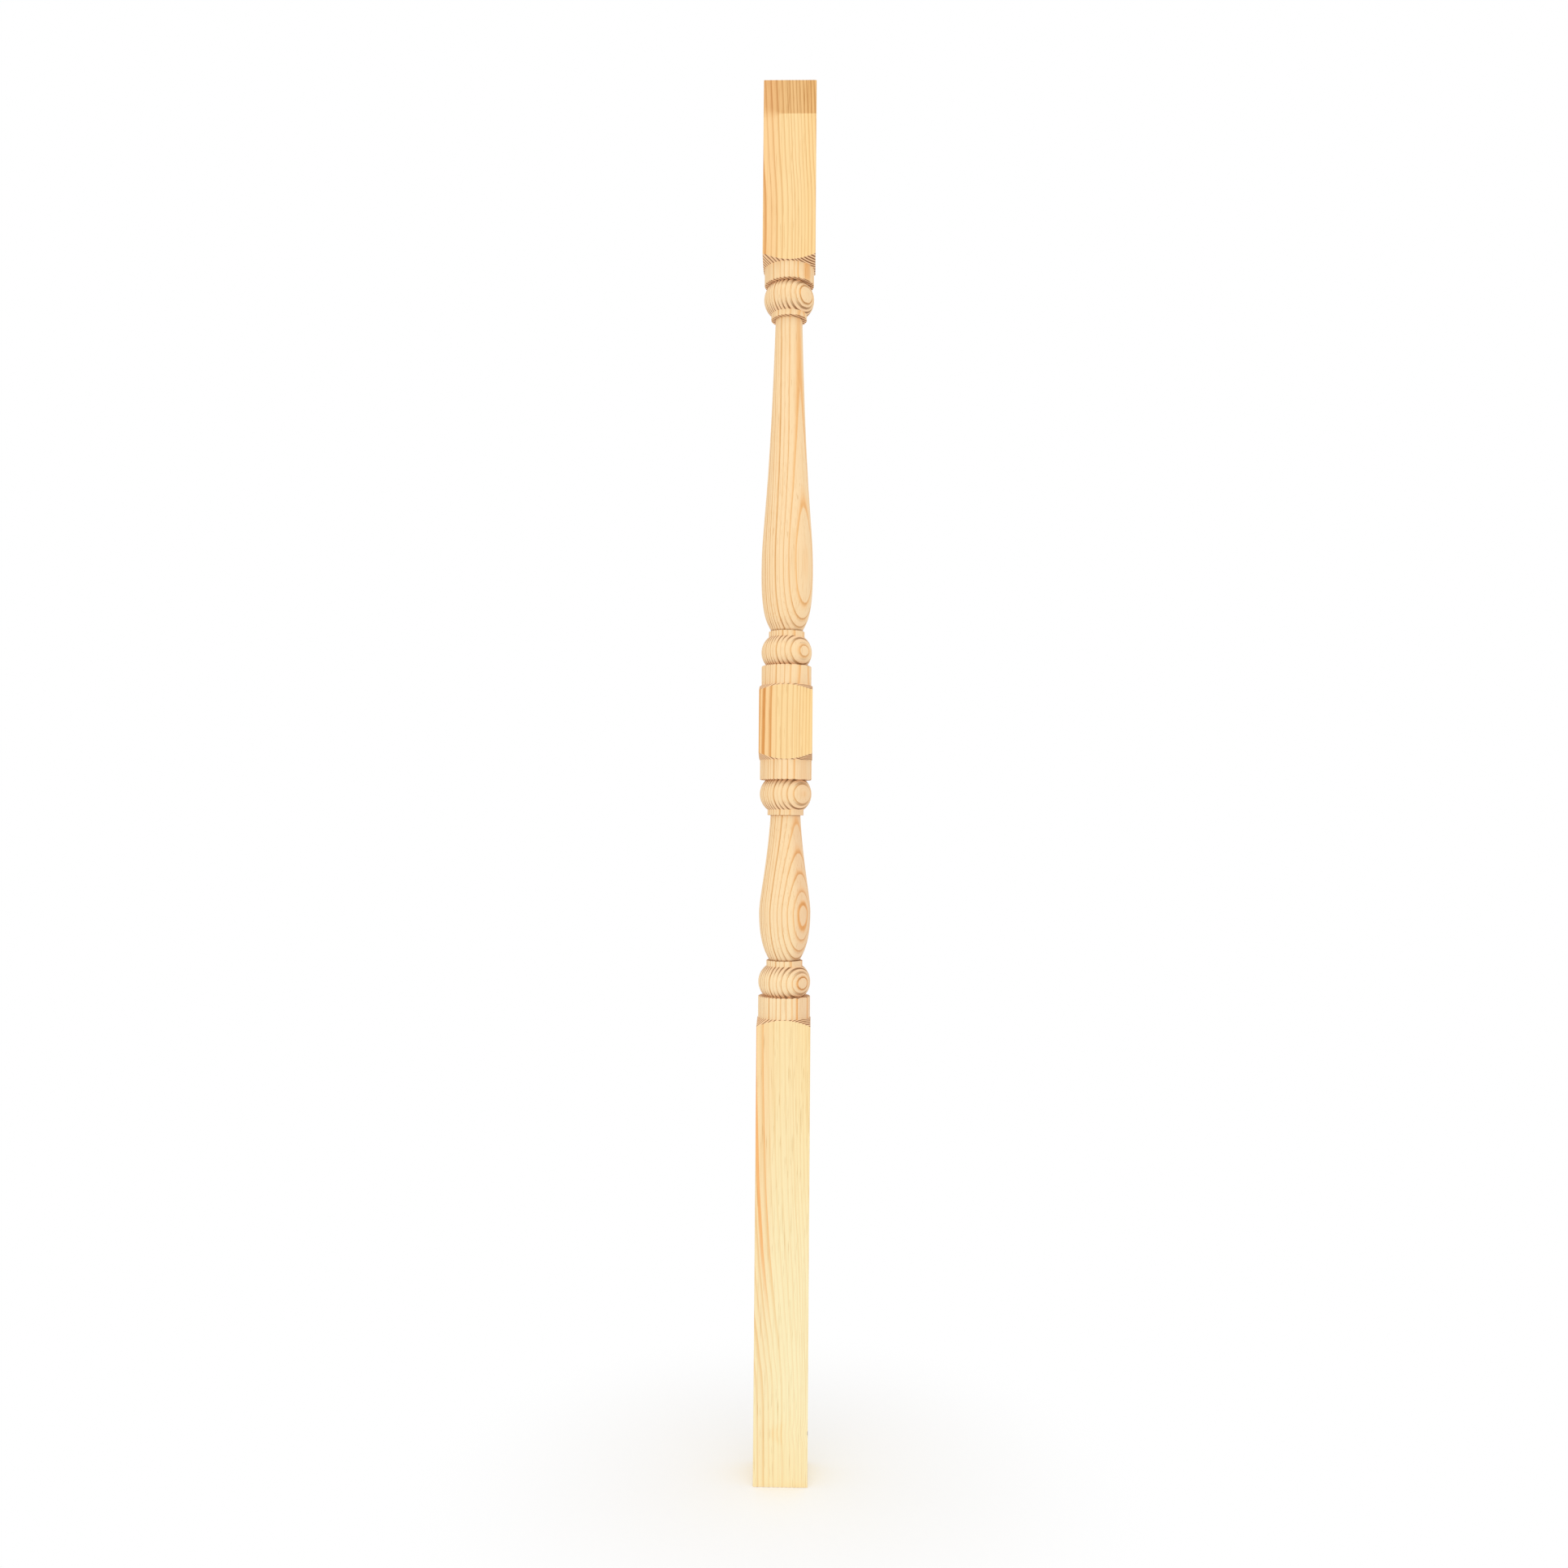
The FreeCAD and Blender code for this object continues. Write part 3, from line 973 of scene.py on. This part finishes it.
    def material(self) -> bpy.types.Material:
        """Make the finish.

        Returns:
            The material.
        """
        made = bpy.data.materials.new(self.name)
        made.use_nodes = True
        wiring = Wiring(made.node_tree)
        shader = made.node_tree.nodes["Principled BSDF"]
        grain = self.grain(wiring)
        matt = self.roughness - grain.soft * self.late_polish + grain.facing.end * self.end_roughness
        for name, value in (
            ("Base Color", self.colour(grain)),
            ("Roughness", matt),
            ("Normal", self.relief(grain)),
            ("Specular IOR Level", self.gloss),
        ):
            wiring.feed(shader.inputs[name], value)
        return made

    def facing(self, wiring: Wiring) -> Facing:
        """Find how the surface was cut and which way it looks.

        Args:
            wiring: The tree to add to.

        Returns:
            The facing.
        """
        turned, corner_shade = (
            wiring.term(wiring.node("ShaderNodeAttribute", attribute_name=name).outputs["Fac"])
            for name in ("turned", "corner_shade")
        )
        bearing = math.radians(self.ring_bearing_deg)
        over, behind, up = wiring.split(wiring.node("ShaderNodeNewGeometry").outputs["Normal"])
        tilt = wiring.maths("ABSOLUTE", up)
        along = wiring.maths("ABSOLUTE", over * math.sin(bearing) - behind * math.cos(bearing))
        return Facing(
            turned, corner_shade, tilt,
            end=tilt.ramp(*self.end_tilt),
            tangent=along.ramp(*self.tangent_look),
            rightward=over.ramp(*self.right_look),
        )

    def age(self, wiring: Wiring, place: Socket) -> tuple[Term, Term, Term]:
        """Find how far out in the tree a place is.

        Args:
            wiring: The tree to add to.
            place: The place.

        Returns:
            Millimetres outwards from the stick's axis with the rings' lean and wandering reckoned in, the
            distance from the knot in half sizes of it, and how strongly the knot pulls.
        """
        right, back, height = wiring.split(place)
        bearing = math.radians(self.ring_bearing_deg)
        out = right * math.sin(bearing) - back * math.cos(bearing)
        aside = right * math.cos(bearing) + back * math.sin(bearing)
        from_pith = wiring.maths("SQRT", (out + self.pith_away) * (out + self.pith_away) + aside * aside)
        knot, pull = self.knot.distances(out, aside, height)
        knot = knot + self.knot.ragged.at(wiring, place)
        crowded = wiring.maths("MAXIMUM", out - self.crowd_start, 0.0) * height.ramp(*self.crowd_heights)
        age = (from_pith - self.pith_away + pull * self.knot.pull + crowded * self.crowding) / MM
        age = age - height.course(self.lean)
        for weave in (self.slow_drift, self.quick_drift, self.waver):
            age = age + weave.at(wiring, place)
        return age, knot, pull

    def grain(self, wiring: Wiring) -> Grain:
        """Find the figure of the wood.

        Args:
            wiring: The tree to add to.

        Returns:
            The figure.
        """
        place = wiring.node("ShaderNodeTexCoord").outputs["Object"]
        right, back, height = wiring.split(place)
        age, knot, pull = self.age(wiring, place)
        season = age.course(self.seasons)
        part = wiring.maths("FRACT", season)
        year = {"W": wiring.maths("FLOOR", season)}
        chance = wiring.node("ShaderNodeTexWhiteNoise", year, noise_dimensions="1D").outputs["Value"]
        luck = wiring.term(chance) - 0.5
        drop = 1.0 - part.ramp(*self.season_end)
        late = part + luck * self.luck_in_part
        widened = part + age.ramp(*self.stripe_growth) * self.stripe_gain
        bold = sum(
            part.ramp(*bold.part) * age.ramp(*bold.start) * age.ramp(*bold.stop) * bold.strength
            for bold in self.bold_lines
        )
        return Grain(
            wiring, self.facing(wiring), place, right, back, height,
            soft=late.ramp(*self.soft_part) * drop,
            line=late.ramp(*self.line_part) * drop,
            stripe=widened.ramp(*self.stripe_part) * drop,
            bold=bold * drop * height.ramp(*self.bold_rise) * height.ramp(*self.bold_top),
            weight=age.course(self.weights) * (luck * self.luck_in_weight + 1.0),
            knot=knot,
            pull=pull,
        )

    def planed_face(self, grain: Grain) -> Socket:
        """Colour the flats.

        Args:
            grain: The figure.

        Returns:
            The colour.
        """
        mixed, tinted = grain.wiring.mixed, grain.wiring.tinted
        right, height = grain.right, grain.height
        upper = height.ramp(*self.late_heights)
        early = mixed(height.ramp(*self.planed_heights), self.planed_foot, self.planed_head)
        late = mixed(upper, self.late_foot, self.late_head)
        bold = mixed(upper, self.bold_foot, self.bold_head)
        heartward = right.ramp(*self.late_width).raised(self.late_on_right)
        fading = height.ramp(*self.late_rise).raised(self.late_at_foot)
        flat = mixed(grain.soft * grain.weight * heartward * fading, early, late)
        on_left = right.ramp(*self.heart_width) * height.ramp(*self.heart_heights)
        flat = tinted(on_left, flat, self.heart_side)
        on_right = right.ramp(*self.bark_width) * height.ramp(*self.bark_heights)
        flat = tinted(on_right, flat, self.bark_side)
        return mixed(grain.bold, flat, bold)

    def round_face(self, grain: Grain) -> Socket:
        """Colour the turned faces, with painted shade on those that look right.

        Args:
            grain: The figure.

        Returns:
            The colour.
        """
        mixed = grain.wiring.mixed
        facing = grain.facing
        late = mixed(facing.tangent, self.turned_late, self.tangent_late)
        face = mixed(grain.height.ramp(*self.turned_heights), self.turned_foot, self.turned_head)
        face = mixed(grain.soft * grain.weight, face, late)
        arch = mixed(facing.tilt.ramp(*self.sloped_tilt), self.tangent_line, self.sloped_line)
        line = mixed(facing.tangent, self.turned_line, arch)
        line = mixed(facing.tilt.ramp(*self.steep_tilt), line, self.tilted_line)
        face = mixed(grain.line * grain.weight, face, line)
        # Painted shade on faces that look right, mostly on the lower stretch.
        foot, top = self.right_shade_heights
        low = grain.height.ramp(*top) * grain.height.ramp(*foot)
        right_shading = facing.rightward * low.raised(self.right_shade_elsewhere)
        return grain.wiring.tinted(right_shading, face, self.right_shade)

    def colour(self, grain: Grain) -> Socket:
        """Colour the wood.

        Args:
            grain: The figure.

        Returns:
            The colour.
        """
        mixed = grain.wiring.mixed
        facing = grain.facing
        sides = mixed(facing.turned, self.planed_face(grain), self.round_face(grain))
        wood = mixed(facing.end, sides, mixed(grain.stripe, self.end_early, self.end_line))
        # Painted shade in the corners, deeper on late wood and on faces that look right.
        depth = self.corner_shade_depth + grain.soft * self.corner_shade_on_late + facing.rightward * self.corner_shade_on_right
        wood = grain.wiring.tinted(facing.corner_shade * depth, wood, self.corner_shade_colour)
        return self.knot.shown(grain.wiring, grain.knot, self.stained(grain, wood))

    def stained(self, grain: Grain, wood: Socket) -> Socket:
        """Tint the wood by its fibres, the stain at its foot, a darker band at its head and the lines bent by
        the knot.

        Args:
            grain: The figure.
            wood: The colour so far.

        Returns:
            The colour.
        """
        wiring, tinted = grain.wiring, grain.wiring.tinted
        place, right, height = grain.place, grain.right, grain.height
        fibres = self.streak_fibres.at(wiring, place) + self.streak_clouds.at(wiring, place)
        streak = fibres.ramp(*self.streak_part)
        wood = tinted(streak, wood, self.streak)
        canals = self.canals.at(wiring, place).ramp(*self.canal_part)
        wood = tinted(canals * self.canal_depth, wood, self.canal)
        wood = tinted(self.fibres.at(wiring, place).ramp(*self.fibre_part), wood, self.fibre)

        blur = right.ramp(*self.blur_width) * self.left_blur + self.head_band_blur
        above = height - self.head_band_height + self.head_band_edge.at(wiring, place)
        band = (above / blur).ramp(-0.5, 0.5)
        wood = tinted(band, wood, self.head_band)
        band_lines = grain.soft * right.ramp(*self.band_line_width).raised(self.band_line_on_left)
        wood = tinted(band * wiring.maths("MAXIMUM", band_lines, streak), wood, self.band_line)

        edge = height.ramp(*self.foot_edge) * right.ramp(*self.foot_edge_width)
        wood = tinted((edge + height.ramp(*self.foot_heights)) / 2.0, wood, self.foot_stain)
        bent = grain.pull.ramp(*self.bent_pull) * right.ramp(*self.bent_width)
        return tinted(bent * grain.soft.raised(self.bent_early), wood, self.bent_line)

    def relief(self, grain: Grain) -> Socket:
        """Raise the hard lines, the fibres and the marks of the tools.

        Args:
            grain: The figure.

        Returns:
            The bent normal.
        """
        wiring, facing = grain.wiring, grain.facing
        hard = grain.line * (facing.turned * self.turned_line_relief + self.line_relief)
        fibres = self.fibre_relief.at(wiring, grain.place)
        turning = self.tool_marks.at(wiring, grain.place) * facing.turned
        sweep = wiring.joined(grain.right + grain.back * self.saw_slant, 0.0, 0.0)
        sawing = self.saw_marks.at(wiring, sweep) * facing.end
        inputs = {"Height": hard + fibres + turning + sawing, "Distance": 1.0, "Strength": 1.0}
        return wiring.node("ShaderNodeBump", inputs).outputs["Normal"]


@dataclass
class Baluster:
    """The whole stick: three square blocks and the two turned stretches between them."""

    length: float
    side: float
    arris: float = 0.6 * MM
    head_block: float = 144.2 * MM
    middle_block: float = 58.7 * MM
    shoulder_rise: float = 4.5 * MM
    edge_ease: float = 0.2 * MM
    centre_dia: float = 6.0 * MM
    centre_depth: float = 4.0 * MM
    flat_columns: int = 34
    arris_columns: int = 4
    foot_steps: int = 24
    middle_steps: int = 6
    head_steps: int = 10
    # How square the rows over a shoulder and over a sawn end are.
    cone_squares: tuple[float, ...] = (0.97, 0.75, 0.5, 0.25, 0.0)
    end_squares: tuple[float, ...] = (0.0, 0.2, 0.4, 0.6, 0.8, 0.99)
    sharp_deg: float = 25.0

    def __post_init__(self) -> None:
        """Set out the two stretches, the tall one above the middle block and the short one below."""
        self.upper = Stretch(
            Mouldings(collar_dia=39.7 * MM, bead_dia=40.2 * MM),
            Vase(
                height=252.0 * MM, neck_dia=21.5 * MM, neck_lean=4.4 * MM, neck_run=158.0 * MM,
                belly_dia=41.2 * MM, belly_height=47.3 * MM, belly_rise=42.0 * MM, belly_fall=40.0 * MM,
                foot_dia=25.0 * MM, foot_spread=1.5 * MM, foot_lift=6.8 * MM,
            ),
            foot_collar=16.0 * MM,
            head_collar=14.0 * MM,
        )
        self.lower = Stretch(
            Mouldings(collar_dia=41.1 * MM, bead_dia=41.1 * MM),
            Vase(
                height=114.7 * MM, neck_dia=23.7 * MM, neck_lean=2.1 * MM, neck_run=37.0 * MM,
                belly_dia=40.7 * MM, belly_height=38.0 * MM, belly_rise=11.0 * MM, belly_fall=26.5 * MM,
                foot_dia=24.4 * MM, foot_spread=1.5 * MM, foot_lift=4.2 * MM,
            ),
            foot_collar=17.0 * MM,
            head_collar=16.0 * MM,
        )

    @property
    def slope(self) -> float:
        """How steeply a shoulder is cut, as height for each metre outwards."""
        return self.shoulder_rise / (self.side * (math.sqrt(2) - 1) / 2)

    def shoulder(self, stretch: Stretch, height: float, upwards: bool) -> list[Row]:
        """Rows over one shoulder, from the block's flats in to the collar.

        Args:
            stretch: The turned stretch that it leads to.
            height: Where it crosses the middle of a flat.
            upwards: Whether the turned stretch is above the block.

        Returns:
            The rows, from the block to the collar.
        """
        away = 1 if upwards else -1
        collar = stretch.mouldings.collar
        root = height + away * self.slope * (self.side / 2 - collar)
        climb = -away * self.slope
        flat = Row(collar, root - away * self.edge_ease, 1.0, climb, Cut.PLANED)
        cone = [Row(collar, root, square, climb) for square in self.cone_squares]
        return [flat, *cone]

    def block(self, low: Row, high: Row, steps: int) -> list[Row]:
        """Rows on the flats between two rows of a block, without those two.

        Args:
            low: The lower row.
            high: The upper row.
            steps: How many gaps there are.

        Returns:
            The rows, upwards.
        """
        return [
            Row(
                low.radius + (high.radius - low.radius) * share,
                low.height + (high.height - low.height) * share,
                1.0,
                low.climb + (high.climb - low.climb) * share,
                Cut.PLANED,
            )
            for share in list(shares(steps))[1:-1]
        ]

    def end(self, height: float, upwards: bool) -> list[Row]:
        """Rows over a sawn end, from the tip of its centre mark out to the flats.

        Args:
            height: Height of the end.
            upwards: Whether it looks up.

        Returns:
            The rows, outwards.
        """
        inward = -1 if upwards else 1
        mark = self.centre_dia / 2
        tip = Row(0.0, height + inward * self.centre_depth, cut=Cut.SAWN)
        face = [Row(mark, height, square, cut=Cut.SAWN) for square in self.end_squares]
        edge = Row(self.side / 2, height + inward * self.edge_ease, 1.0, cut=Cut.PLANED)
        return [tip, *face, edge]

    def rows(self) -> list[Row]:
        """All rows, from the foot to the head.

        Returns:
            The rows.
        """
        head_shoulder = self.length - self.head_block
        upper_base = head_shoulder - self.upper.height
        lower_top = upper_base - self.middle_block
        lower_base = lower_top - self.lower.height

        foot = self.end(0.0, upwards=False)
        low_shoulder = self.shoulder(self.lower, lower_base, upwards=True)
        middle_low = self.shoulder(self.lower, lower_top, upwards=False)[::-1]
        middle_high = self.shoulder(self.upper, upper_base, upwards=True)
        top_shoulder = self.shoulder(self.upper, head_shoulder, upwards=False)[::-1]
        head = self.end(self.length, upwards=True)[::-1]
        return [
            *foot,
            *self.block(foot[-1], low_shoulder[0], self.foot_steps),
            *low_shoulder,
            *self.lower.rows(lower_base),
            *middle_low,
            *self.block(middle_low[-1], middle_high[0], self.middle_steps),
            *middle_high,
            *self.upper.rows(upper_base),
            *top_shoulder,
            *self.block(top_shoulder[-1], head[0], self.head_steps),
            *head,
        ]

    def template(self) -> bpy.types.Object:
        """The rows as a line of points, one for each row, that carry the rows' numbers.

        Returns:
            The line, as an object in the scene.
        """
        rows = self.rows()
        mesh = bpy.data.meshes.new("turning_template")
        mesh.from_pydata(
            [(0.0, 0.0, MM * number) for number in range(len(rows))],
            [(number, number + 1) for number in range(len(rows) - 1)],
            [],
        )
        carried = {
            "turned_radius": [row.radius for row in rows],
            "height": [row.height for row in rows],
            "square": [row.square for row in rows],
            "climb": [row.climb for row in rows],
            "turned": [float(row.cut is Cut.TURNED) for row in rows],
            "corner_shade": [row.corner_shade for row in rows],
            "row": [float(number) for number in range(len(rows))],
        }
        for name, values in carried.items():
            mesh.attributes.new(name, "FLOAT", "POINT").data.foreach_set("value", values)
        return in_scene("turning_template", mesh)

    def build(self, finish: bpy.types.Material) -> bpy.types.Object:
        """Turn the stick and make it a plain mesh.

        Args:
            finish: What it is dressed in.

        Returns:
            The baluster.
        """
        line = self.template()
        rule = TurningTree()
        turning = line.modifiers.new("Turning", "NODES")
        turning.node_group = rule.tree
        for name, value in (
            ("Side", self.side),
            ("Arris", self.arris),
            ("Columns on a flat", self.flat_columns),
            ("Columns on an arris", self.arris_columns),
            ("Finish", finish),
        ):
            turning[rule.sockets[name]] = value
        mesh = settled(line)
        bpy.data.objects.remove(line)
        self.face_outwards(mesh)
        StripMap(self.rows(), self.side / 2).lay(mesh)
        mesh.set_sharp_from_angle(angle=math.radians(self.sharp_deg))
        made = in_scene("turned_baluster", mesh)
        self.shade_flats_flat(made)
        LOG.info("turned_baluster: %d points, %d faces", len(made.data.vertices), len(made.data.polygons))
        return made

    @staticmethod
    def shade_flats_flat(made: bpy.types.Object) -> None:
        """Let broad faces set the shading at their edges, so that flats stay flat next to an eased edge.

        Args:
            made: The stick.
        """
        weighing = made.modifiers.new("Broad faces first", "WEIGHTED_NORMAL")
        weighing.keep_sharp = True
        shaded = settled(made)
        made.modifiers.remove(weighing)
        made.data = shaded
        shaded.name = made.name

    @staticmethod
    def face_outwards(mesh: bpy.types.Mesh) -> None:
        """Turn every face of a closed mesh outwards.

        Args:
            mesh: The mesh.
        """
        shape = bmesh.new()
        shape.from_mesh(mesh)
        bmesh.ops.recalc_face_normals(shape, faces=shape.faces)
        shape.to_mesh(mesh)
        shape.free()


@dataclass(frozen=True)
class Lamp:
    """A broad soft lamp that looks at the stick."""

    name: str
    place: tuple[float, float, float]
    aim: tuple[float, float, float]
    wide: float
    high: float
    watts: float

    def hang(self) -> None:
        """Put the lamp in the scene."""
        data = bpy.data.lights.new(self.name, "AREA")
        data.shape = "RECTANGLE"
        data.size = self.wide
        data.size_y = self.high
        data.energy = self.watts
        made = in_scene(self.name, data)
        made.location = self.place
        made.rotation_euler = (Vector(self.aim) - Vector(self.place)).to_track_quat("-Z", "Y").to_euler()


@dataclass(frozen=True)
class Studio:
    """A white floor, soft light all round and the camera."""

    frame_px: float = 1932.0
    focal_px: float = 1642.0
    sensor_mm: float = 36.0
    camera_distance: float = 1.061
    camera_height: float = 0.506
    camera_offset: float = -1.08 * MM
    pitch_deg: float = 1.882
    roll_deg: float = -0.42
    orbit_deg: float = 1.2
    floor_size: float = 8.0
    floor_colour: Colour = (0.98, 0.98, 0.98)
    floor_fade: Span = (0.06, 0.30)
    white: Colour = (1.0, 1.0, 1.0)
    daylight: float = 0.84
    lamps: tuple[Lamp, ...] = (
        Lamp("front_softbox", (0.0, -3.2, 1.5), aim=(0.0, 0.0, 0.55), wide=2.4, high=1.6, watts=10.0),
        Lamp("top_softbox", (0.0, -0.6, 3.4), aim=(0.0, 0.0, 0.3), wide=2.0, high=2.0, watts=14.0),
    )

    def build(self) -> None:
        """Set up the whole studio."""
        self.camera()
        self.floor()
        self.world()
        for lamp in self.lamps:
            lamp.hang()
        bpy.context.scene.view_settings.view_transform = "Standard"

    def camera(self) -> None:
        """Stand the camera where the picture was taken from."""
        data = bpy.data.cameras.new("camera")
        data.sensor_width = self.sensor_mm
        data.lens = self.sensor_mm * self.focal_px / self.frame_px
        made = in_scene("camera", data)
        orbit = math.radians(self.orbit_deg)
        aside, back = self.camera_offset, self.camera_distance
        made.location = (
            aside * math.cos(orbit) + back * math.sin(orbit),
            aside * math.sin(orbit) - back * math.cos(orbit),
            self.camera_height,
        )
        made.rotation_euler = (math.radians(90 + self.pitch_deg), math.radians(self.roll_deg), orbit)
        bpy.context.scene.camera = made

    @staticmethod
    def seen(wiring: Wiring) -> Term:
        """Tell what the camera sees from what only lights.

        Args:
            wiring: The tree to add to.

        Returns:
            1 for what is seen straight on, in a gloss or through glass, else 0.
        """
        path = wiring.node("ShaderNodeLightPath").outputs
        names = ("Is Camera Ray", "Is Glossy Ray", "Is Transmission Ray")
        return wiring.maths("MINIMUM", sum(wiring.term(path[name]) for name in names), 1.0)

    def floor(self) -> None:
        """Lay a white floor that takes the stick's shadow and melts into the white room further off."""
        half = self.floor_size / 2
        mesh = bpy.data.meshes.new("floor")
        corners = [(-half, -half, 0), (half, -half, 0), (half, half, 0), (-half, half, 0)]
        mesh.from_pydata(corners, [], [(0, 1, 2, 3)])
        made = in_scene("floor", mesh)
        finish = bpy.data.materials.new("white_floor")
        finish.use_nodes = True
        tree = finish.node_tree
        tree.nodes.clear()
        wiring = Wiring(tree)
        place = wiring.node("ShaderNodeTexCoord").outputs["Object"]
        away = wiring.node("ShaderNodeVectorMath", {0: place}, operation="LENGTH").outputs["Value"]
        share = wiring.term(away).ramp(*self.floor_fade) * self.seen(wiring)
        matt = wiring.node("ShaderNodeBsdfDiffuse", {"Color": self.floor_colour})
        bright = wiring.node("ShaderNodeEmission", {"Color": self.white})
        both = wiring.node("ShaderNodeMixShader", {0: share, 1: matt.outputs[0], 2: bright.outputs[0]})
        wiring.node("ShaderNodeOutputMaterial", {"Surface": both.outputs[0]})
        mesh.materials.append(finish)

    def world(self) -> None:
        """Fill the room with even light and show it white."""
        made = bpy.data.worlds.new("studio")
        made.use_nodes = True
        wiring = Wiring(made.node_tree)
        back = made.node_tree.nodes["Background"]
        wiring.feed(back.inputs["Color"], self.white)
        wiring.feed(back.inputs["Strength"], self.seen(wiring).raised(self.daylight))
        bpy.context.scene.world = made


def main() -> None:
    """Build the baluster and its studio, and log how many points and faces it has."""
    logging.basicConfig(level=logging.INFO, format="%(name)s: %(message)s")
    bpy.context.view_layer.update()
    low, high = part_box(NODE)
    stick = Baluster(length=high[2] - low[2], side=high[0] - low[0] - CLEARANCE)
    piece = stick.build(PineFinish().material())
    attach(piece, BODY)
    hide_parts(NODE)
    Studio().build()
    LOG.info("studio: camera, floor, world and softboxes")


if __name__ == "__main__":
    main()
